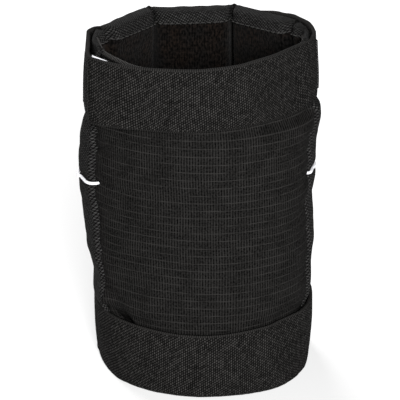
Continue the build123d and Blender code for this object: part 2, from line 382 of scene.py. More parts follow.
def strap_elastic():
    """Coarse woven elastic: slanted tufts in upright columns, each a little lighter or darker."""
    paint = Paint("strap elastic", roughness=0.95, specular=0.02)
    width = paint.node("ShaderNodeAttribute")
    width.attribute_name = "strap_width"
    drift = paint.times_plus(paint.noise(16.0, 0.0), 1.2, paint.u)
    tone, height = paint.tufts(drift, paint.v, 1.06, 1.40, 0.22, full=(0.66, 0.66), own_share=0.6)
    streaks = paint.span(paint.noise(1.3, 2.0, (1.0, 0.5, 1.0)), 0.32, 0.68, 0.72, 1.25)
    patches = paint.span(paint.noise(13.0), 0.3, 0.7, 0.92, 1.08)
    tone = paint.times(tone, paint.times(streaks, patches))
    body = paint.mix(tone, grey(0.0001), grey(0.034))
    far_edge = paint.math("SUBTRACT", width.outputs["Fac"], paint.v)
    nearest = paint.math("MINIMUM", paint.v, far_edge)
    selvedge = paint.span(nearest, 0.55, 0.95, 1.0, 0.0)
    beads = paint.span(paint.wave(paint.u, 1.1), -0.6, 0.8)
    edge_colour = paint.mix(beads, grey(0.006), grey(0.022))
    colour = paint.mix(selvedge, body, edge_colour)
    relief = paint.times(height, paint.math("SUBTRACT", 1.0, selvedge))
    return paint.finish(colour, relief, depth=0.3, strength=0.9)


def ladder_elastic():
    """Thin ribbed elastic with fine upright ribs and a light cross thread every few millimetres."""
    paint = Paint("ladder elastic", roughness=0.95, specular=0.02)
    sway = paint.times_plus(paint.noise(30.0, 0.0), 1.4, paint.u)
    ribs = paint.span(paint.wave(sway, 1.36), -0.5, 0.8)
    waver = paint.times_plus(paint.noise(40.0, 0.0), 1.6, paint.v)
    rung = paint.span(paint.wave(waver, 3.85), 0.90, 0.99)
    worn = paint.span(paint.noise(4.0, 3.0, (0.5, 1.6, 1)), 0.3, 0.62, 0.1, 1.0)
    rung = paint.times(rung, worn)
    fuzz = paint.span(paint.noise(0.9, 3.0), 0.3, 0.7)
    blots = paint.span(paint.noise(9.0, 3.0), 0.3, 0.7, 0.4, 1.0)
    tone = paint.times(paint.times(ribs, blots), 0.75)
    tone = paint.times_plus(fuzz, 0.5, tone)
    cloth = paint.mix(tone, grey(0.0002), grey(0.0145))
    colour = paint.mix(paint.times(rung, 0.6), cloth, grey(0.0235))
    height = paint.times(ribs, blots)
    return paint.finish(colour, height, depth=0.10, strength=0.8)


def twill_cover():
    """Black woven polyester: fine diagonal lines broken into dots."""
    paint = Paint("twill cover", roughness=0.9, specular=0.03)
    slanted = paint.times_plus(paint.v, 0.62, paint.u)
    tone, height = paint.tufts(slanted, paint.v, 1.24, 1.10, 0.0, full=(0.7, 0.7), own_share=0.4)
    fuzz = paint.span(paint.noise(0.9, 2.0), 0.3, 0.7, 0.6, 1.3)
    tone = paint.times(tone, fuzz)
    colour = paint.mix(tone, grey(0.0001, 0.02), grey(0.041, 0.02))
    worn = paint.span(paint.noise(22.0), 0.5, 0.75, 0.0, 0.12)
    colour = paint.mix(worn, colour, grey(0.016, 0.02))
    # Painted shade: the cloth is darkened nearly to black along the stitched channels, where shade falls in
    # the creases.
    for place in (22.6, 63.2):
        colour = paint.mix(paint.span(paint.from_seam(place), 0.2, 1.6, 0.75, 0.0), colour, grey(0.001))
    return paint.finish(colour, height, depth=0.16, strength=0.8)


def brushed_lining():
    """Dark brushed knit with fine upright wales, browner where the light catches the pile."""
    paint = Paint("brushed lining", roughness=0.95, specular=0.02, sheen=0.02)
    sway = paint.times_plus(paint.noise(5.0), 0.8, paint.u)
    wales = paint.span(paint.wave(sway, 1.25), -0.7, 0.9)
    courses = paint.span(paint.wave(paint.v, 1.6), -0.8, 0.9)
    pile = paint.span(paint.noise(1.0, 3.0, (1, 0.5, 1)), 0.42, 0.64)
    tone = paint.times_plus(wales, 0.25, paint.times(courses, 0.08))
    tone = paint.times_plus(pile, 0.75, tone)
    blots = paint.span(paint.noise(15.0), 0.3, 0.7)
    warm = paint.mix(blots, (0.0092, 0.0060, 0.0044), (0.0060, 0.0055, 0.0053))
    # Painted shade: the knit's tone drops to a tenth in the two stitched creases on each side, where shade
    # falls in the grooves.
    for place in (22.3, 62.3):
        tone = paint.times(tone, paint.span(paint.from_seam(place), 0.4, 2.2, 0.1, 1.0))
    colour = paint.mix(tone, (0.0002, 0.0002, 0.0002), warm)
    return paint.finish(colour, tone, depth=0.3, strength=0.8)


def thread(name, light, dark):
    """Twisted sewing thread."""
    paint = Paint(name, roughness=0.7, specular=0.1)
    twist = paint.wave(paint.math("ADD", paint.times(paint.u, 2.2), paint.v), 0.9)
    strand = paint.span(twist, -0.9, 0.9)
    return paint.finish(paint.mix(strand, dark, light), strand, depth=0.05)


def tape(name, light, dark):
    """Plain woven tape, such as the piping's cover or the label."""
    pitch = 0.9
    paint = Paint(name, roughness=0.7, specular=0.2)
    warp = paint.span(paint.wave(paint.u, pitch), -0.9, 0.9)
    weft = paint.span(paint.wave(paint.v, pitch), -0.9, 0.9)
    cloth = paint.times(warp, weft)
    tone = paint.times_plus(cloth, 0.7, paint.times(paint.noise(2.0), 0.4))
    return paint.finish(paint.mix(tone, dark, light), cloth, depth=0.05)


def foam_skin():
    """Closed-cell foam, dark grey, with fine open cells on its cut faces."""
    paint = Paint("foam", roughness=0.9, specular=0.1)
    cells = paint.node("ShaderNodeTexVoronoi")
    paint.put(cells.inputs["Vector"], paint.weave)
    cells.inputs["Scale"].default_value = 1.6
    hollow = paint.span(cells.outputs["Distance"], 0.1, 0.55)
    return paint.finish(paint.mix(hollow, grey(0.070), grey(0.030)), hollow, depth=0.2)


def loop_pile():
    paint = Paint("loop pile", roughness=0.95, specular=0.05, sheen=0.15)
    loops = paint.span(paint.noise(0.55, 4.0), 0.3, 0.7)
    tufts = paint.span(paint.noise(2.4, 2.0), 0.3, 0.7)
    tone = paint.times_plus(loops, 0.7, paint.times(tufts, 0.3))
    return paint.finish(paint.mix(tone, grey(0.003), grey(0.022)), tone, depth=0.6, strength=1.0)


def hook_field():
    paint = Paint("hook field", roughness=0.45, specular=0.4)
    rows = paint.span(paint.times(paint.wave(paint.u, 1.5), paint.wave(paint.v, 1.5)), 0.0, 0.9)
    return paint.finish(paint.mix(rows, grey(0.006), grey(0.020)), rows, depth=0.3)


def moulded_grip():
    paint = Paint("moulded grip", roughness=0.5, specular=0.2)
    grain = paint.noise(0.5, 3.0)
    scuff = paint.span(paint.noise(5.0, 3.0), 0.5, 0.75, 0.42, 0.7)
    return paint.finish(paint.mix(grain, grey(0.008), grey(0.014)), grain, depth=0.08, roughness=scuff)


STRAP_CLOTH = strap_elastic()
PANEL_CLOTH = ladder_elastic()
COVER_CLOTH = twill_cover()
LINING_CLOTH = brushed_lining()
DARK_THREAD = thread("dark thread", grey(0.018), grey(0.006))
GREY_THREAD = thread("grey thread", grey(0.052), grey(0.014))
WHITE_TAPE = tape("white tape", (0.86, 0.86, 0.88), (0.62, 0.62, 0.65))
FOAM = foam_skin()
LOOP_PILE = loop_pile()
HOOK_FIELD = hook_field()
GRIP = moulded_grip()

# ---- The padded half: a cover sewn over a lining, with foam in its channels --------------------

# Half widths of the padding's outer face at each height, on the left and on the right
LEFT_SIDE = profile(
    [(0, 50.0), (28, 51.0), (33, 52.6), (37, 54.5), (44, 54.9), (53, 54.9), (58, 56.2), (62, 57.3),
     (72, 58.4), (86, 59.8), (96, 60.9), (106, 60.9), (114, 60.5), (122, 59.6), (128, 58.4), (133, 56.6),
     (137, 55.5), (145, 54.9), (158, 54.0), (172, 52.6)]
)
RIGHT_SIDE = profile(
    [(0, 52.6), (28, 53.0), (36, 55.0), (54, 56.4), (66, 57.9), (76, 57.6), (86, 57.4), (98, 58.9),
     (110, 58.8), (116, 59.4), (122, 60.5), (129, 61.0), (134, 60.0), (138, 56.6), (145, 56.0), (155, 55.2),
     (172, 54.0)]
)
# The padding's rounded rear end: how far back it is, how far in from the widest point, how thick
END_Y = profile(
    [(0, -17), (33, -18), (44, -18.5), (70, -14.5), (100, -8.5), (120, -7), (136, -5.5), (172, -6)]
)
END_IN = profile([(0, 3.4), (33, 3.2), (44, 2.2), (60, 3.2), (100, 4.2), (120, 3.8), (134, 2.0), (172, 1.4)])
LEFT_END_THICKNESS = profile(
    [(0, 3.0), (33, 2.8), (46, 3.6), (70, 4.6), (100, 5.4), (120, 5.4), (132, 4.6), (142, 3.4), (172, 2.4)]
)
RIGHT_END_THICKNESS = profile(
    [(0, 3.0), (33, 3.0), (44, 4.0), (66, 3.8), (86, 3.0), (100, 3.2), (115, 4.6), (130, 4.8),
     (142, 3.4), (172, 2.4)]
)
CORNER_1 = 22.3  # along the outline from the centre: the corner between the centre and shoulder
CORNER_2 = 62.3  # the shoulder's outer corner
SIDE_AT = 72.0
END_AT = 84.0
CORNER_Y = 15.7
STACK = 10.0  # cover, foam and lining together
RIM_HEIGHT = 2.8  # of the rounded rim above and below the flat of the padding
# How far the top rim stands above the CAD rim at each distance from the centre
RIM_PROUD = profile([(-84, 0.3), (-62, 1.0), (-30, 1.9), (-12, 1.2), (20, 1.0), (62, 0.8), (84, 0.3)])
FOLD = 2.6  # the cover's turned edge, inside
CREASES = (-CORNER_2, -CORNER_1, CORNER_1, CORNER_2)
CORNER_ROUND = 2.2


def raw_outline(s, z):
    """Plan points at distances s from the centre front, positive to the right, at one height."""
    points = np.zeros((len(s), 2))
    for side, half in ((-1, LEFT_SIDE), (1, RIGHT_SIDE)):
        width, back = float(half(z)), float(END_Y(z))
        side_y = CORNER_Y + 0.55 * (back - CORNER_Y)
        xs = [0, CORNER_1, width - 2.7, width, width - float(END_IN(z))]
        ys = [FRONT_Y, FRONT_Y, CORNER_Y, side_y, back]
        xs.append(2 * xs[4] - xs[3])
        ys.append(2 * ys[4] - ys[3])
        places = [0, CORNER_1, CORNER_2, SIDE_AT, END_AT, 2 * END_AT - SIDE_AT]
        mine = s * side >= 0
        distance = np.abs(s[mine])
        points[mine, 0] = side * np.interp(distance, places, xs)
        points[mine, 1] = np.interp(distance, places, ys)
    return points


def outline(s, z):
    """The same outline with its corners rounded."""
    steps = np.linspace(-2, 2, 9)
    weights = np.exp(-(steps**2) / 2)
    return sum(w * raw_outline(s + CORNER_ROUND * k, z) for w, k in zip(weights, steps)) / weights.sum()


def crease(s, width):
    """1 on a stitched channel and 0 between them."""
    return np.clip(sum(np.exp(-(((s - at) / width) ** 2)) for at in CREASES), 0, 1)


def pillow(s):
    """How far along its own cell each place is, as a bulge of 0 at both seams and 1 in the middle."""
    distance = np.abs(s)
    centre = np.sin(np.pi * np.clip((s + CORNER_1) / (2 * CORNER_1), 0, 1))
    shoulder = np.sin(np.pi * np.clip((distance - CORNER_1) / (CORNER_2 - CORNER_1), 0, 1))
    return np.where(distance < CORNER_1, centre, shoulder) ** 0.75


def fold_valleys(s, z):
    """Gathers that run in from the sewn rear edge, a few deep ones and many small."""
    from_end = END_AT - np.abs(s)
    reach = np.exp(-np.clip(from_end, 0, None) / 11)
    small = ripple(z * 0.42, s * 0.09, 3.0 + (s > 0)) * 0.45
    deep = np.zeros_like(from_end)
    for side, height, slope, depth in (
        (-1, 127.0, 0.35, 1.5), (-1, 118.5, -0.25, 1.0), (-1, 84.0, 0.3, 0.7), (-1, 66.0, 0.2, 0.7),
        (1, 122.0, -0.2, 0.8), (1, 86.0, 0.1, 1.2), (1, 74.0, -0.1, 0.7), (1, 52.0, 0.2, 0.6),
    ):
        line = height + slope * from_end
        deep = deep - np.where(s * side > 0, depth * np.exp(-(((z - line) / 2.0) ** 2)), 0)
    return reach * (small + deep)


def outer_face(s, z):
    """The cover's outer face and its outward direction at one height."""
    middle = outline(s, z)
    ahead = outline(s + 0.25, z) - outline(s - 0.25, z)
    way = unit(ahead)
    out = np.stack([-way[:, 1], way[:, 0]], axis=1)
    above, below = STRAP_Z["bottom"][1], STRAP_Z["top"][0]
    pressed = 1 - smooth_step(z, above - 4, above + 6) * (1 - smooth_step(z, below - 6, below + 4))
    rise = 1.8 * pillow(s) * (1 - pressed * np.where(np.abs(s) < CORNER_1, 1.0, 0.5))
    rise = rise - 1.1 * crease(s, 1.3)
    rise = rise - 1.3 * np.exp(-(((z - PIPING_Z) / 1.6) ** 2))
    rise = rise + fold_valleys(s, z)
    return middle + out * rise[:, None], out, way


def thickness(s, z):
    """The padding's depth at each place, less at the seams and at its rounded ends."""
    end = np.where(s < 0, LEFT_END_THICKNESS(z), RIGHT_END_THICKNESS(z))
    full = STACK + 1.1 * pillow(s)
    flat_from = END_AT - 13.0 * smooth_step(z, 138, 160)
    depth = full + (end - full) * smooth_step(np.abs(s), CORNER_2 + 1, flat_from)
    return depth - (depth - 2.2) * crease(s, 3.6) * (np.abs(s) < CORNER_2 + 5)


def seam_columns():
    """Distances round the padding, close together at the creases."""
    columns = list(np.arange(-END_AT, END_AT + 0.1, 1.4))
    for at in CREASES:
        columns = [c for c in columns if abs(c - at) > 4.2] + list(at + np.linspace(-4, 4, 21))
    return np.array(sorted(columns))


COLUMNS = seam_columns()
END_TURNS = np.linspace(0, np.pi, 13)[1:]


def cell_row(z):
    """Outer points, inner points and distances for one height, with both rounded ends."""
    face, out, way = outer_face(COLUMNS, z)
    depth = thickness(COLUMNS, z)
    inner = face - out * depth[:, None]
    ends = []
    for index, sign in ((0, -1), (-1, 1)):
        half = depth[index] / 2
        swell = face[index] - out[index] * (half * (1 - np.cos(END_TURNS)))[:, None]
        swell = swell + sign * way[index] * (half * 0.85 * np.sin(END_TURNS))[:, None]
        ends.append(swell)
    outer = np.vstack([ends[0][::-1], face, ends[1]])
    turns = len(END_TURNS)
    inner = np.vstack([np.repeat(inner[:1], turns, axis=0), inner, np.repeat(inner[-1:], turns, axis=0)])
    steps = distances(outer)
    return outer, inner, steps - np.interp(0, outer[:, 0], steps)


LOW_ROW, HIGH_ROW = RIM_HEIGHT, PAD_TOP - RIM_HEIGHT


RIM_STEPS = 12


def rim_rows(z, sign):
    """Rows over the rounded rim, from the outer face to the inner, above (1) or below (-1)."""
    outer, inner, run = cell_row(z)
    across = inner - outer
    width = np.linalg.norm(across, axis=1)
    height = RIM_HEIGHT * np.sqrt(np.clip(width / 7, 0, 1))
    if sign > 0:
        height = height + RIM_PROUD(run) + 1.7 * crease(run, 1.5)
    height = height + 0.25 * ripple(run * 0.35, 0, 5.0) * np.clip(width / 7, 0, 1)
    rows = []
    for turn in np.pi * np.arange(1, RIM_STEPS + 1) / RIM_STEPS:
        share = (1 - np.sign(np.cos(turn)) * abs(np.cos(turn)) ** 0.62) / 2
        level = z + sign * np.clip(height, 0.3, None) * np.sin(turn) ** 0.55
        rows.append(np.column_stack([outer + across * share, level]))
    inwards = unit(across)
    for k in range(1, 5):
        level = np.full(len(run), z - sign * FOLD * k / 4)
        rows.append(np.column_stack([inner + inwards * 0.55, level]))
    middle = int(np.argmin(np.abs(run)))
    over = np.array([[*outer[middle], z]] + [row[middle] for row in rows])
    return rows, list(distances(over)[1:]), run


def build_cover():
    """The cover, from its turned lower edge up the outside and over the top rim."""
    levels = np.arange(LOW_ROW, HIGH_ROW + 0.1, (HIGH_ROW - LOW_ROW) / 108)
    low_rows, low_path, run = rim_rows(LOW_ROW, -1)
    high_rows, high_path, run = rim_rows(HIGH_ROW, 1)
    rows = low_rows[::-1] + [np.column_stack([cell_row(z)[0], np.full(len(run), z)]) for z in levels]
    rows = rows + high_rows
    path = [LOW_ROW - p for p in low_path[::-1]] + list(levels) + [HIGH_ROW + p for p in high_path]
    verts = np.vstack(rows)
    uvs = row_uvs(run, path)
    cover = make_mesh("pad_cover", verts, grid_faces(len(rows), len(run), flip=True), uvs, COVER_CLOTH)
    return solidify(cover, 0.8)


def build_lining():
    """The brushed lining, stitched through at each crease."""
    levels = np.linspace(LOW_ROW - 1 + FOLD, HIGH_ROW + 1 - FOLD, 90)
    rows = []
    for z in levels:
        face, out, _ = outer_face(COLUMNS, z)
        depth = thickness(COLUMNS, z) + 0.12 * ripple(COLUMNS * 0.3, z * 0.25, 7.0)
        rows.append(np.column_stack([face - out * depth[:, None], np.full(len(COLUMNS), z)]))
    uvs = row_uvs(COLUMNS, levels)
    faces = grid_faces(len(rows), len(COLUMNS), flip=False)
    lining = make_mesh("pad_lining", np.vstack(rows), faces, uvs, LINING_CLOTH)
    return solidify(lining, 0.7)


def build_foam(name, start, end):
    """One foam strip, a closed solid that fills its channel."""
    places = np.linspace(start + 1.6, end - 1.6, 14)
    levels = np.linspace(LOW_ROW + 0.5, HIGH_ROW - 0.5, 40)
    rows, run = [], np.concatenate([places, places[::-1]])
    for z in levels:
        face, out, _ = outer_face(places, z)
        inner = face - out * (thickness(places, z) - 1.3)[:, None]
        ring = np.vstack([face - out * 1.3, inner[::-1]])
        rows.append(np.column_stack([ring, np.full(len(ring), z)]))
    count = len(run)
    faces = grid_faces(len(rows), count, flip=True, closed=True)
    for base, flip in ((0, False), ((len(rows) - 1) * count, True)):
        for i in range(len(places) - 1):
            quad = (base + i, base + i + 1, base + count - 2 - i, base + count - 1 - i)
            faces.append(quad[::-1] if flip else quad)
    uvs = row_uvs(run, levels)
    return make_mesh(name, np.vstack(rows), faces, uvs, FOAM)


def bend_with_elbow(piece):
    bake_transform(piece)
    return piece


COVER_NODES = ["forearm_cover", "upper_cover", "top_rim_binding", "bottom_rim_binding"]
for side in ("left", "right"):
    COVER_NODES += [f"flex_gusset_{side}", f"forearm_edge_binding_{side}", f"upper_edge_binding_{side}"]
cover = dress(bend_with_elbow(build_cover()), nodes=COVER_NODES)

lining_nodes = ["forearm_lining", "upper_lining"]
lining = dress(bend_with_elbow(build_lining()), nodes=lining_nodes)

for strip, start, end in (
    ("wing_foam_left", -END_AT, -CORNER_2),
    ("foam_left", -CORNER_2, -CORNER_1),
    ("foam_centre", -CORNER_1, CORNER_1),
    ("foam_right", CORNER_1, CORNER_2),
    ("wing_foam_right", CORNER_2, END_AT),
):
    foam = bend_with_elbow(build_foam(f"pad_{strip}", start, end))
    dress(foam, nodes=[f"forearm_{strip}", f"upper_{strip}"])

# ---- Straps -----------------------------------------------------------------------------------

# Each strap's outer face in plan, from the right front corner round the back to the left front
# one: matching points of its upper and of its lower edge
STRAP_PLANS = {
    "top": (
        [(26.4, 45.1), (35.5, 38.2), (44.8, 31.2), (54.2, 18.5), (57.6, 7), (55.2, -3.0), (49.6, -9.6),
         (43.6, -15.9), (32.3, -27.0), (21.3, -34.8), (11.6, -39.3), (-4.8, -41.9), (-20.0, -39.3),
         (-34.2, -34.8), (-44.5, -29.3), (-53.2, -22.0), (-55.8, -18.6), (-56.5, -12), (-55.8, -2),
         (-54.9, 8), (-52.9, 17.8), (-38.6, 31.0), (-24.5, 43.6), (-19.5, 44.5)],
        [(26.4, 45.1), (35.5, 38.2), (45.6, 31.2), (56.0, 18.5), (58.9, 7), (57.0, -3.0), (52.0, -10.8),
         (43.4, -20.0), (32.7, -27.2), (23.8, -32.0), (14.1, -36.0), (-2.8, -38.6), (-18.0, -37.2),
         (-31.0, -33.6), (-43.6, -28.8), (-52.4, -24.6), (-55.6, -20.6), (-57.3, -13), (-57.5, -3),
         (-57.0, 7), (-54.6, 17.3), (-39.6, 31.2), (-24.5, 43.6), (-19.5, 44.5)],
    ),
    "bottom": (
        [(26.4, 45.1), (35.2, 38.2), (44.2, 31.2), (53.4, 19.5), (56.6, 8), (56.8, -3), (55.2, -13),
         (52.8, -20), (48.4, -27), (42.8, -32.0), (36.2, -37.4), (28.5, -43.3), (13.0, -49.0), (-3.2, -50.0),
         (-19.1, -45.8), (-34.0, -36.6), (-46.6, -24.0), (-52.4, -10.5), (-53.6, 0), (-53.5, 8.5),
         (-51.2, 17.6), (-38.0, 30.0), (-24.5, 43.4), (-19.5, 44.5)],
        [(26.4, 45.1), (35.2, 38.0), (44.0, 31.0), (52.8, 19.5), (56.2, 8), (56.2, -1), (54.6, -10),
         (52.6, -19.4), (48.9, -28), (44.0, -35.8), (37.2, -42.8), (28.8, -47.6), (13.5, -51.2),
         (-2.0, -51.4), (-18.0, -47.8), (-32.0, -40.2), (-43.4, -28.6), (-49.4, -14.0), (-51.6, -2),
         (-52.0, 8), (-50.2, 17.2), (-37.6, 29.8), (-24.5, 43.4), (-19.5, 44.5)],
    ),
}
STRAP = 1.7
STRAP_RUNS = 260


def strap_edges(name):
    """Matching plan points along the two edges of a strap, evenly spaced along the upper one."""
    upper, lower = (spline(plan, None) for plan in STRAP_PLANS[name])
    run = distances(upper)
    even = np.linspace(0, run[-1], STRAP_RUNS)
    return [along(even, run, edge) for edge in (upper, lower)]


STRAP_EDGES = {name: strap_edges(name) for name in STRAP_PLANS}


def strap_row(name, share):
    """Plan points of a strap's outer face at a share of its height, from 0 at the lower edge."""
    upper, lower = STRAP_EDGES[name]
    return lower + (upper - lower) * share


def outward(plan):
    """Unit directions out of the sleeve, along a plan curve that runs clockwise seen from above."""
    way = unit(np.gradient(plan, axis=0))
    return np.stack([-way[:, 1], way[:, 0]], axis=1)


def strap_skin(name, share):
    """A strap's outer face at a share of its height, with its waves and its level."""
    low, high = STRAP_Z[name]
    plan = strap_row(name, share)
    out, run = outward(plan), distances(plan)
    free = smooth_step(np.minimum(run, run[-1] - run), 2, 25)
    bow = 0.5 * math.sin(math.pi * share) - 0.3 * math.exp(-share * (high - low) / 1.2)
    wave = 0.24 * ripple(run * 0.15, share * 2.2, 11.0 + len(name)) + 0.1 * ripple(run * 0.5, share * 5, 13.0)
    plan = plan + out * ((bow + wave) * free)[:, None]
    level = low + (high - low) * share + 0.3 * np.sin(run * 0.065 + 1) * share**2 * free
    if name == "top":
        # It stands up a little on both shoulders, and sits lower over the front
        front = smooth_step(plan[:, 1], 20, 34)
        level = level - 1.6 * front + 2.2 * front * smooth_step(plan[:, 0], 27, 44)
        level = level + 1.3 * smooth_step(plan[:, 1], 2, 17) * smooth_step(-plan[:, 0], 44, 52)
        level = level + 1.5 * smooth_step(plan[:, 1], 6, 18) * smooth_step(plan[:, 0], 44, 50)
    return plan, out, level, run


def mark_width(piece, width):
    """Tells the strap's material how wide the webbing is, so that it can find the far selvedge."""
    attribute = piece.data.attributes.new("strap_width", "FLOAT", "POINT")
    attribute.data.foreach_set("value", np.full(len(piece.data.vertices), width))


def build_strap(name):
    """A strap of woven elastic with a little curl along both edges and slight waves."""
    low, high = STRAP_Z[name]
    shares = np.linspace(0, 1, 29)
    rows = []
    for share in shares:
        plan, _, level, run = strap_skin(name, share)
        rows.append(np.column_stack([plan, level]))
    uvs = row_uvs(run, shares * (high - low))
    faces = grid_faces(len(rows), len(run), flip=True)
    strap = make_mesh(f"{name}_elastic_strap", np.vstack(rows), faces, uvs, STRAP_CLOTH)
    mark_width(strap, high - low)
    return solidify(strap, STRAP), run[-1], high - low


STRAP_BODIES = {"top": "upper_section", "bottom": "forearm_section"}
for name, body in STRAP_BODIES.items():
    strap, length, height = build_strap(name)
    dress(strap, body, [f"{name}_strap"])

# ---- Elastic panel at the back ----------------------------------------------------------------

# The panel's upper edge in plan, from the left end of the padding to the right
PANEL_TOP_PLAN = [
    (-51.0, 9.0), (-50.6, 3.0), (-47.4, -7.0), (-42.0, -17.2), (-34.5, -27.4), (-21.5, -35.6),
    (-5.0, -39.4), (11.0, -36.8), (21.0, -32.2), (31.8, -24.6), (43.0, -13.2), (50.4, -3.2), (52.0, 6.0),
]
PANEL = 1.1
PANEL_RUNS = 220
PANEL_GAP = 0.5  # from the panel to the inside of a strap
END_POINT = 5  # along the padding's rounded end: the point where the panel is sewn in
PANEL_BACK = profile(
    [(0, 48.4), (33, 47.6), (46, 46.6), (70, 44), (100, 41), (125, 38.4), (136, 36.4), (172, 38)]
)
PANEL_LEFT_FULLNESS = profile([(0, 1.3), (33, 1.45), (60, 1.4), (100, 1.4), (140, 1.3), (172, 1.3)])
PANEL_RIGHT_FULLNESS = profile([(0, 1.2), (33, 1.25), (60, 1.1), (100, 1.05), (140, 1.2), (172, 1.2)])
PANEL_SKEW = profile([(0, -0.03), (33, -0.05), (60, -0.15), (110, -0.17), (136, -0.06), (172, -0.06)])


def strap_limit(name, share, x):
    """The furthest back that the panel may be at each x, inside a strap."""
    plan = strap_row(name, share)
    inside = plan - outward(plan) * (STRAP + PANEL_GAP)
    back = inside[inside[:, 1] < -8]
    order = np.argsort(back[:, 0])
    return np.interp(x, back[order, 0], back[order, 1])


def panel_row(z):
    """Plan points of the panel's outer face at one height, from the left end to the right."""
    outer, inner, _ = cell_row(z)
    core = [(outer[i] + inner[i]) / 2 for i in (len(END_TURNS), -len(END_TURNS) - 1)]
    ends = (outer[END_POINT], outer[-END_POINT - 1])
    left, right = (end + (middle - end) * 0.2 for end, middle in zip(ends, core))
    t = np.linspace(0, 1, PANEL_RUNS)
    share = (1 - np.cos(np.pi * t)) / 2
    depth = float(PANEL_BACK(z)) + (left[1] + right[1]) / 2
    more_left = PANEL_LEFT_FULLNESS(z) - PANEL_RIGHT_FULLNESS(z)
    fullness = PANEL_RIGHT_FULLNESS(z) + more_left * (1 - smooth_step(t, 0.25, 0.6))
    bulge = np.sin(np.pi * t) ** fullness * (1 + float(PANEL_SKEW(z)) * np.cos(np.pi * t))
    plan = left + (right - left) * share[:, None]
    plan[:, 1] -= depth * bulge
    top = spline(PANEL_TOP_PLAN, PANEL_RUNS)
    held = smooth_step(z, 140, 166)
    return plan + (top - plan) * held


def panel_wrinkles(t, z):
    """How far the panel stands out or in, with its soft wrinkles and the fold above the lower strap."""
    slack = 0.2 + 0.8 * np.exp(-(((t - 0.16) / 0.16) ** 2)) + 0.25 * np.exp(-(((t - 0.9) / 0.1) ** 2))
    total = slack * 0.36 * ripple(t * 16, z * 0.30, 21.0)
    total = total + slack * 0.16 * ripple(t * 18, z * 0.6, 23.0)
    total = total + 0.5 * ripple(t * 7, z * 0.05, 25.0)
    hollow = np.exp(-(((z - 30) / 12.0) ** 2)) * smooth_step(t, 0.03, 0.09) * (1 - smooth_step(t, 0.15, 0.25))
    ridge = np.exp(-(((z - 44) / 10.0) ** 2)) * np.exp(-(((t - 0.29 - (z - 36) * 0.0012) / 0.035) ** 2))
    overhang = 1.6 * np.exp(-(((z - 40) / 4.5) ** 2)) * (1 - smooth_step(t, 0.06, 0.14))
    right_hollow = np.exp(-(((z - 32) / 9.0) ** 2)) * np.exp(-(((t - 0.80) / 0.10) ** 2))
    total = total - 5.0 * hollow + 1.2 * ridge + overhang - 1.6 * right_hollow
    return total * np.clip(np.minimum(t, 1 - t) / 0.03, 0, 1)


def kept_inside(plan, z):
    """The panel's plan, pushed in wherever a strap would be in its way."""
    for name, reach in (("bottom", -1), ("top", 1)):
        low, high = STRAP_Z[name]
        edge = high if name == "bottom" else low
        share = np.clip((z - low) / (high - low), 0, 1)
        hold = 1 - smooth_step((z - edge) * -reach, 0.5, 7.0)
        limit = strap_limit(name, share, plan[:, 0])
        pushed = np.maximum(plan[:, 1], limit)
        plan[:, 1] += (pushed - plan[:, 1]) * hold
    return plan


def build_panel():
    levels = np.linspace(1.5, PANEL_TOP, 140)
    t = np.linspace(0, 1, PANEL_RUNS)
    rows = []
    for z in levels:
        plan = panel_row(z)
        plan = plan - outward(plan) * panel_wrinkles(t, z)[:, None]
        plan = kept_inside(plan, z)
        dip = 0.5 * ripple(t * 9, 0, 27.0) * smooth_step(z, 150, PANEL_TOP)
        dip = dip + 3.0 * (1 - smooth_step(t, 0.02, 0.10)) * smooth_step(z, 140, PANEL_TOP)
        rows.append(np.column_stack([plan, np.full(len(t), z) + dip]))
    # The ribs are measured from the middle of each row, so they stay upright where the ends gather
    uvs = []
    for row, z in zip(rows, levels):
        run = distances(row[:, :2])
        inner = slice(PANEL_RUNS // 4, -PANEL_RUNS // 4)
        uvs.append(np.column_stack([run - np.interp(0, row[inner, 0], run[inner]), np.full(len(run), z)]))
    run = distances(rows[len(rows) // 2][:, :2])
    faces = grid_faces(len(rows), len(run), flip=False)
    panel = make_mesh("rear_elastic_panel", np.vstack(rows), faces, np.vstack(uvs), PANEL_CLOTH)
    return solidify(panel, PANEL), rows, run[-1], levels[-1] - levels[0]


panel, panel_rows, panel_width, panel_height = build_panel()
panel_nodes = ["rear_panel_lower", "rear_panel_flex", "rear_panel_upper"]
dress(bend_with_elbow(panel), nodes=panel_nodes)

# ---- Sewing -----------------------------------------------------------------------------------


def plan_normals(path, flip=False):
    out = outward(path[:, :2])
    return np.column_stack([-out if flip else out, np.zeros(len(path))])


def rim_stitching():
    """The row of stitches that holds the cover's turned edge, at the top and the bottom."""
    heap = Heap()
    for z, sign in ((HIGH_ROW, 1), (LOW_ROW, -1)):
        outer, inner, run = cell_row(z)
        inwards = unit(inner - outer)
        keep = np.abs(run) < END_AT - 2
        path = np.column_stack([inner + inwards * 0.6, np.full(len(run), z - sign * (FOLD - 0.9))])[keep]
        normals = np.column_stack([inwards, np.zeros(len(run))])[keep]
        stitch_along(heap, path, normals, stitch=2.4, gap=0.7, radius=0.3, lift=0.18)
    return heap.make("rim_stitching", GREY_THREAD)


def overlock():
    """Looped threads over the panel's raw upper edge."""
    heap = Heap()
    edge = panel_rows[-1]
    run = distances(edge)
    normals = plan_normals(edge, flip=True)
    for number, start in enumerate(np.arange(0.6, run[-1] - 1.2, 1.05)):
        at = start + np.array([0.0, 0.1, 0.35, 0.6, 0.75])
        base, out = along(at, run, edge), along(at, run, normals)
        reach = 2.1 + 0.35 * math.sin(number * 2.3)
        drop = np.array([-reach, -0.8, 0.45, -0.7, -reach])
        lift = np.array([0.35, 0.5, -PANEL / 2, -PANEL - 0.35, -PANEL - 0.3])
        path = base + out * lift[:, None] + np.array([0, 0, 1.0]) * drop[:, None]
        heap.add(*tube(path, 0.24, sides=5))
    return heap.make("panel_overlock", GREY_THREAD)


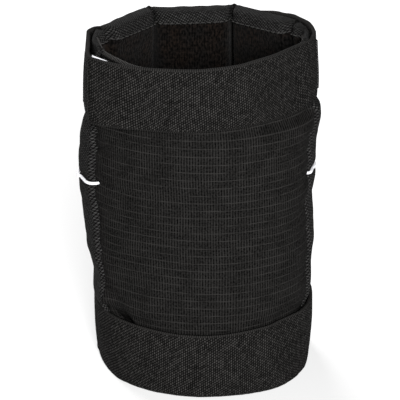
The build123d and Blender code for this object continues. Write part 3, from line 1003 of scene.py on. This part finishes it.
def side_seams():
    """The zigzag that sews the elastic panel to each end of the padding."""
    heap = Heap()
    for column, inside in ((3, 1), (-4, -1)):
        edge = np.array([row[column] for row in panel_rows])[2:-2]
        beside = np.array([row[column + 2 * inside] for row in panel_rows])[2:-2]
        way = unit(beside - edge)
        normals = np.cross(way, np.array([0, 0, 1.0])) * inside
        normals = np.column_stack([-normals[:, 0], -normals[:, 1], np.zeros(len(normals))])
        heights = np.arange(edge[0, 2] + 1, edge[-1, 2] - 3, 2.4)
        for z in heights:
            steps = z + np.array([0, 0.6, 1.2])
            base, across, out = (along(steps, edge[:, 2], line[:, :2]) for line in (edge, way, normals))
            sway = np.array([-0.9, 0.2, 1.3])[:, None]
            points = np.column_stack([base + across * sway + out * 0.25, steps])
            heap.add(*tube(points, 0.2, sides=5))
    return heap.make("side_seam_stitching", DARK_THREAD)


for piece in (rim_stitching(), overlock(), side_seams()):
    dress(bend_with_elbow(piece))


def build_piping():
    """The white piping across the front and round both rounded ends."""
    outer, inner, run = cell_row(PIPING_Z)
    out = unit(outer - inner + 1e-6)
    ends = np.abs(run) > END_AT
    centre = np.where((run < 0)[:, None], outer[[len(END_TURNS)]], outer[[-len(END_TURNS) - 1]])
    away = unit(outer - (centre + inner) / 2)
    out[ends] = away[ends]
    towards_left, towards_right = (smooth_step(side * run, END_AT - 12, END_AT - 2) for side in (-1, 1))
    proud = 0.35 + 1.5 * towards_left + 0.6 * towards_right
    path = np.column_stack([outer + out * proud[:, None], np.full(len(run), PIPING_Z)])
    return make_mesh("white_piping_cord", *tube(path[1:-1], 0.75, sides=10), WHITE_TAPE)


dress(bend_with_elbow(build_piping()), nodes=["white_piping"])


LABEL_DEPTH = 20.0  # mm, tucked in behind the strap
LABEL_RISE = 1.0  # mm, how far its edge shows above the strap


def build_label():
    """The folded end of a blank label that shows as a white edge above the strap."""
    upper, high = strap_row("top", 1.0), STRAP_Z["top"][1]
    corner = int(np.argmin(np.linalg.norm(upper - np.array([-55.6, -19.8]), axis=1)))
    part = slice(corner - 10, corner + 1)
    plan, out = upper[part], outward(upper)[part]
    taper = np.linspace(0.0, 1.0, len(plan)) ** 0.7
    rows = []
    for share in np.linspace(0, 1, 10):
        level = high - LABEL_DEPTH + (LABEL_DEPTH - 0.1 + LABEL_RISE * taper) * share
        rows.append(np.column_stack([plan - out * (STRAP + 0.12), level]))
    run = distances(plan)
    uvs = row_uvs(run, np.linspace(0, LABEL_DEPTH, len(rows)))
    label = make_mesh("blank_size_label", np.vstack(rows), grid_faces(len(rows), len(run)), uvs, WHITE_TAPE)
    return solidify(label, 0.35)


dress(build_label(), "upper_section", ["size_label"])

# ---- Bar tacks and strap seams ----------------------------------------------------------------


def on_strap(name, place, share):
    """A point on a strap's outer face near a plan place, with its outward and along directions."""
    plan, out, level, _ = strap_skin(name, share)
    at = int(np.argmin(np.linalg.norm(plan - np.array(place), axis=1)))
    way = unit(plan[at + 1] - plan[at - 1])
    return np.array([*plan[at], level[at]]), np.array([*out[at], 0.0]), np.array([*way, 0.0])


def bar_tack(heap, name, place):
    """A bar of dense zigzag stitches that runs up a strap."""
    low, high = STRAP_Z[name]
    half_width, pitch = 1.5, 0.62
    sign = 1
    for share in np.arange(0.12, 0.88, pitch / (high - low)):
        point, out, way = on_strap(name, place, share)
        across = np.array([-1.0, -0.5, 0.5, 1.0])[:, None] * way * half_width * sign
        lift = np.array([-0.1, 0.4, 0.4, -0.1])[:, None] * out
        rise = np.array([0, 0.1, 0.25, 0.31])[:, None] * np.array([0, 0, 1.0])
        heap.add(*tube(point + across + lift + rise, 0.24, sides=5))
        sign = -sign


def upright_seam(heap, name, place, stitch=2.4):
    """A row of stitches that runs up a strap."""
    points, normals = [], []
    for share in np.linspace(0.02, 0.98, 30):
        point, out, _ = on_strap(name, place, share)
        points.append(point)
        normals.append(out)
    stitch_along(heap, points, normals, stitch=stitch, gap=0.5, radius=0.24, lift=0.12)


for name, body in STRAP_BODIES.items():
    heap = Heap()
    for place in ((-58.0, -1.0), (57.5, 4.0)):
        bar_tack(heap, name, place)
    upright_seam(heap, name, (-22.0, 44.0))
    upright_seam(heap, name, (-25.5, 42.0))
    if name == "top":
        upright_seam(heap, name, (-56.2, -19.2), stitch=3.4)
    dress(heap.make(f"{name}_strap_tacks", DARK_THREAD), body, [f"{name}_bar_tacks"])

# ---- Closures on the front --------------------------------------------------------------------


def loft(rings):
    """The points and faces of a closed solid through matching rings of points."""
    count = len(rings[0])
    return np.vstack(rings), grid_faces(len(rings), count, closed=True) + cap_faces(len(rings), count)


def loft_block(name, rings, material):
    """A closed solid from matching rings of points, with a cap on each end."""
    verts, faces = loft(rings)
    return make_mesh(name, verts, faces, verts[:, [0, 2]], material)


def oval_ring(centre, half_depth, half_height, power, sides=32):
    """An upright ring, rounder or squarer by its power, at right angles to X."""
    turn = np.linspace(0, 2 * np.pi, sides, endpoint=False)
    y = centre[1] + half_depth * np.sign(np.cos(turn)) * np.abs(np.cos(turn)) ** power
    z = centre[2] + half_height * np.sign(np.sin(turn)) * np.abs(np.sin(turn)) ** power
    return np.column_stack([np.full(sides, centre[0]), y, z])


def build_tab(name):
    """A strap's free end, from its hinge at the corner to the pull grip."""
    low, high = STRAP_Z[name]
    face = cad(f"{name}_strap_tab", 1, 1) - 0.1
    plan = [(25.0, face - 1.0), (24.2, face - 0.4), (22.0, face), (3.0, face + 0.1), (-19.0, face)]
    plan = spline(plan, 70)
    out, run = outward(plan), distances(plan)
    shares = np.linspace(0, 1, 29)
    height = high - low - 1.7
    from_corner = np.clip((run - run[-1] + 3) / 3, 0, 1)
    rows = []
    for share in shares:
        wave = 0.12 * ripple(run * 0.2, share * 3, 15.0) * smooth_step(run, 2, 14)
        level = np.full(len(run), low + 0.3 + height * share)
        if abs(2 * share - 1) > 0.8:  # the two corners of the free end are rounded
            level = level + 1.6 * (1 - np.sqrt(1 - from_corner**2)) * (1 - 2 * share)
        rows.append(np.column_stack([plan + out * (wave - 0.15)[:, None], level]))
    uvs = row_uvs(run, shares * (high - low))
    faces = grid_faces(len(rows), len(run))
    tab = make_mesh(f"{name}_strap_end", np.vstack(rows), faces, uvs, STRAP_CLOTH)
    mark_width(tab, high - low)
    return solidify(tab, STRAP), run[-1], height


def build_grip(name):
    """A moulded pull grip with ribs across it and a slimmer root."""
    low, high = cad_corners(f"{name}_strap_grip")
    middle, half = (low + high) / 2, (high - low) / 2
    rings = []
    for share in np.linspace(0, 1, 45):
        end = np.sqrt(np.clip(1 - np.clip((0.16 - share) / 0.16, 0, 1) ** 2, 0.02, 1))
        end = end * np.sqrt(np.clip(1 - 0.5 * np.clip((share - 0.9) / 0.1, 0, 1) ** 2, 0.02, 1))
        rib = 0.80 + 0.20 * abs(math.sin(share * math.pi * 5)) ** 0.7
        centre = (low[0] + (high[0] - low[0]) * share, middle[1], middle[2])
        rings.append(oval_ring(centre, half[1] * end * rib, half[2] * (0.88 + 0.12 * end), 0.42))
    return loft_block(f"{name}_pull_grip", rings, GRIP)


def build_pile(name):
    """The loop patch: a soft pile with an uneven face and a sewn edge."""
    low, high = cad_corners(f"{name}_loop_patch")
    columns, levels = np.linspace(low[0], high[0], 60), np.linspace(low[2], high[2], 48)
    x, z = np.meshgrid(columns, levels)
    edge = np.minimum(np.minimum(x - low[0], high[0] - x), np.minimum(z - low[2], high[2] - z))
    swell = np.clip(edge / 0.8, 0, 1) ** 0.5
    y = low[1] + (high[1] - low[1]) * (0.35 + 0.5 * swell)
    y = y + 0.1 * ripple(x * 1.7, z * 1.9, 31.0) * swell
    verts = np.column_stack([x.ravel(), y.ravel(), z.ravel()])
    faces = grid_faces(len(levels), len(columns), flip=True)
    pile = make_mesh(f"{name}_loop_pile", verts, faces, verts[:, [0, 2]], LOOP_PILE)
    return solidify(pile, 0.4)


HOOK_PITCH = 1.75


def build_hooks(name):
    """The hook patch: a thin woven base with rows of small bent hooks that face the pile."""
    low, high = cad_corners(f"{name}_hook_patch")
    heap, base = Heap(), high[1] - 0.45
    rings = []
    for x, inset in ((low[0], 0.25), (low[0] + 0.3, 0), (high[0] - 0.3, 0), (high[0], 0.25)):
        centre = (x, (base + high[1]) / 2, (low[2] + high[2]) / 2)
        rings.append(oval_ring(centre, (high[1] - base) / 2, (high[2] - low[2]) / 2 - inset, 0.25))
    verts, faces = loft(rings)
    heap.add(verts, faces, verts[:, [0, 2]])
    for row, z in enumerate(np.arange(low[2] + 1.2, high[2] - 1.0, HOOK_PITCH)):
        bend = 0.35 if row % 2 else -0.35
        for x in np.arange(low[0] + 1.2 + 0.6 * (row % 2), high[0] - 1.0, HOOK_PITCH):
            bends = ((0.05, 0), (-0.35, 0), (-0.6, bend * 0.5), (-0.5, bend))
            heap.add(*tube([(x, base + out, z + up) for out, up in bends], 0.13, sides=4))
    return heap.make(f"{name}_hook_field", HOOK_FIELD)


for name, body in STRAP_BODIES.items():
    tab, length, height = build_tab(name)
    dress(tab, f"{name}_tab", [f"{name}_strap_tab"])
    dress(build_grip(name), f"{name}_tab", [f"{name}_strap_grip"])
    dress(build_pile(name), body, [f"{name}_loop_patch"])
    dress(build_hooks(name), f"{name}_tab", [f"{name}_hook_patch"])
    seams = Heap()
    low, high = STRAP_Z[name]
    face = cad(f"{name}_strap_tab", 1, 1)
    paths = [[(x, face, z) for z in np.linspace(low + 1.5, high - 2.5, 12)] for x in (-17.0, 15.5)]
    paths += [[(x, face, z) for x in np.linspace(-16.5, 15, 12)] for z in (low + 2.2, high - 3.2)]
    for path in paths:
        stitch_along(seams, path, [(0, 1, 0)] * len(path), radius=0.24)
    dress(seams.make(f"{name}_strap_end_stitching", DARK_THREAD), f"{name}_tab")

# ---- Elbow cup --------------------------------------------------------------------------------

CUP_LOW, CUP_HIGH = cad_corners("elbow_cup_cover")


def cup_point(turn, reach, inset, height):
    """A point on a rounded oblong footprint, at a share of its reach."""
    half_x, half_z = (CUP_HIGH[0] - CUP_LOW[0]) / 2 - inset, (CUP_HIGH[2] - CUP_LOW[2]) / 2 - inset
    power = 0.62
    x = half_x * reach * np.sign(np.cos(turn)) * np.abs(np.cos(turn)) ** power
    z = half_z * reach * np.sign(np.sin(turn)) * np.abs(np.sin(turn)) ** power
    middle = (CUP_HIGH + CUP_LOW) / 2
    y = np.broadcast_to(height, np.shape(x))
    return np.stack([middle[0] + x, y, middle[2] + z], axis=-1)


def cup_height(reach, drop):
    """A sewn flange, a steep padded wall and a softly domed top."""
    full = CUP_HIGH[1] - CUP_LOW[1] - 0.4
    wall = 1 - smooth_step(reach, 0.60, 0.93)
    dome = 1 - 0.10 * (reach / 0.6) ** 2
    flange = 0.9 * (1 - smooth_step(reach, 0.97, 1.0))
    return CUP_LOW[1] + flange + (full - 0.9) * wall * np.clip(dome, 0.8, 1) - drop


def cup_shape(inset, drop, closed):
    turns = np.linspace(0, 2 * np.pi, 96, endpoint=False)
    reaches = np.concatenate([np.linspace(1.0, 0.55, 26), np.linspace(0.5, 0.04, 14)])
    rows = []
    for reach in reaches:
        height = cup_height(np.full(len(turns), reach), drop)
        wrinkle = 0.16 * ripple(turns * 9, reach * 6, 33.0) * np.exp(-(((reach - 0.9) / 0.12) ** 2))
        rows.append(cup_point(turns, reach, inset, height + wrinkle))
    faces = grid_faces(len(rows), len(turns), closed=True)
    faces.append(tuple(range((len(rows) - 1) * len(turns), len(rows) * len(turns))))
    if closed:
        faces.append(tuple(range(len(turns)))[::-1])
    return np.vstack(rows), faces


CLOTH_FRAMES = 20
CLOTH_VOXEL = 4.0  # mm
CLOTH_CAP = 1.2  # mm, the furthest that the simulation may move a point
CLOTH_START = 0.6  # mm, how much lower the padding's crown starts
CLOTH_PRESSURE = 400.0  # far more than a cushion needs, since the cup is small and stiff for its size


def swollen(verts, faces, held_below):
    """The points of a closed padded shape after cloth pressure on a remeshed copy.

    The copy is held below a level of y, and each point follows the copy's nearest ones.
    """
    copy = make_mesh("cloth_copy", verts, faces)
    remesh = copy.modifiers.new("remesh", "REMESH")
    remesh.mode, remesh.voxel_size = "VOXEL", CLOTH_VOXEL * MM
    settled = bpy.data.meshes.new_from_object(copy.evaluated_get(bpy.context.evaluated_depsgraph_get()))
    copy.modifiers.clear()
    copy.data = settled
    before = np.array([v.co[:] for v in settled.vertices]) / MM
    held = copy.vertex_groups.new(name="held")
    held.add([int(i) for i in np.flatnonzero(before[:, 1] < held_below)], 1.0, "REPLACE")
    cloth = copy.modifiers.new("cloth", "CLOTH")
    cloth.settings.use_pressure = True
    cloth.settings.uniform_pressure_force = CLOTH_PRESSURE
    cloth.settings.effector_weights.gravity = 0.0
    cloth.settings.vertex_group_mass = "held"
    cloth.point_cache.frame_start, cloth.point_cache.frame_end = 1, CLOTH_FRAMES
    for step in range(1, CLOTH_FRAMES + 1):
        bpy.context.scene.frame_set(step)
    final = copy.evaluated_get(bpy.context.evaluated_depsgraph_get()).to_mesh()
    after = np.array([v.co[:] for v in final.vertices]) / MM
    bpy.data.objects.remove(copy)
    bpy.context.scene.frame_set(1)
    moved = after - before
    length = np.linalg.norm(moved, axis=1, keepdims=True)
    moved = moved * np.minimum(1, CLOTH_CAP / np.maximum(length, 1e-6))
    gaps = np.linalg.norm(verts[:, None] - before[None], axis=2)
    weights = np.exp(-((gaps / CLOTH_VOXEL) ** 2))
    return verts + (weights @ moved) / weights.sum(axis=1, keepdims=True)


def build_cup(name, inset, drop, material):
    closed = drop > 0
    verts, faces = cup_shape(inset, drop, closed)
    if not closed:
        rise = (verts[:, 1] - CUP_LOW[1]) / (CUP_HIGH[1] - CUP_LOW[1])
        start = verts - np.outer(CLOTH_START * rise, (0, 1, 0))
        verts = swollen(start, cup_shape(inset, drop, True)[1], CUP_LOW[1] + 1.5)
    return make_mesh(name, verts, faces, verts[:, [0, 2]], material)


cup = solidify(build_cup("elbow_cup_skin", 0.0, 0.0, COVER_CLOTH), 0.7)
dress(cup, "forearm_section", ["elbow_cup_cover"])
cup_foam = build_cup("elbow_cup_core", 1.6, 1.1, FOAM)
dress(cup_foam, "forearm_section", ["elbow_cup_foam"])

CUP_SEAM_REACH = 0.955  # on the sewn flange, just inside its edge
cup_seam = Heap()
path = cup_point(np.linspace(0, 2 * np.pi, 120), CUP_SEAM_REACH, 0.0, cup_height(CUP_SEAM_REACH, 0.0))
stitch_along(cup_seam, path, [(0, 1, 0)] * len(path), stitch=2.4, gap=0.7, radius=0.26, lift=0.1)
dress(cup_seam.make("elbow_cup_stitching", GREY_THREAD), "forearm_section")

# ---- Camera, light and floor ------------------------------------------------------------------


def place_camera():
    """A long lens behind the pad, a little to its left and above."""
    azimuth, elevation, distance = math.radians(-6.2), math.radians(24.1), 1.293
    target = Vector((-0.0002, 0.0, 0.0841))
    flat = math.cos(elevation)
    back = Vector((math.sin(azimuth) * flat, -math.cos(azimuth) * flat, math.sin(elevation)))
    camera = bpy.data.objects.new("camera", bpy.data.cameras.new("camera"))
    bpy.context.scene.collection.objects.link(camera)
    camera.location = target + back * distance
    camera.rotation_mode = "QUATERNION"
    camera.rotation_quaternion = (-back).to_track_quat("-Z", "Y")
    camera.data.sensor_width = 36.0
    seen_width = 0.2  # metres across the picture at the target
    camera.data.lens = camera.data.sensor_width * distance / seen_width
    camera.data.clip_start, camera.data.clip_end = 0.1, 20.0
    bpy.context.scene.camera = camera


def area_light(name, place, size, power):
    """A square soft light that faces the pad."""
    light = bpy.data.lights.new(name, "AREA")
    light.size = size
    light.energy = power
    lamp = bpy.data.objects.new(name, light)
    bpy.context.scene.collection.objects.link(lamp)
    lamp.location = place
    lamp.rotation_mode = "QUATERNION"
    lamp.rotation_quaternion = (Vector((0, 0, 0.09)) - Vector(place)).to_track_quat("-Z", "Y")


def studio():
    scene = bpy.context.scene
    scene.view_settings.view_transform = "Standard"
    scene.view_settings.look = "None"
    world = bpy.data.worlds.new("studio")
    scene.world = world
    world.use_nodes = True
    sky = world.node_tree.nodes["Background"].inputs
    sky["Color"].default_value, sky["Strength"].default_value = (1, 1, 1, 1), 0.10
    area_light("key", (0.06, -1.36, 0.7), 0.5, 43)
    area_light("back key", (-0.4, 1.2, 0.75), 0.8, 30)
    floor_paint = bpy.data.materials.new("pale floor")
    floor_paint.use_nodes = True
    shader = floor_paint.node_tree.nodes["Principled BSDF"]
    shader.inputs["Base Color"].default_value = (0.5, 0.5, 0.5, 1)
    shader.inputs["Roughness"].default_value = 1.0
    shader.inputs["Specular IOR Level"].default_value = 0.0
    shader.inputs["Emission Color"].default_value = (1, 1, 1, 1)
    shader.inputs["Emission Strength"].default_value = 0.42
    mesh = bpy.data.meshes.new("floor")
    half = 6.0
    corners = [(-half, -half, 0), (half, -half, 0), (half, half, 0), (-half, half, 0)]
    mesh.from_pydata(corners, [], [(0, 1, 2, 3)])
    mesh.materials.append(floor_paint)
    floor = bpy.data.objects.new("floor", mesh)
    bpy.context.scene.collection.objects.link(floor)
    floor.location.z = -0.0005
    floor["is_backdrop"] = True


place_camera()
studio()

low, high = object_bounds()
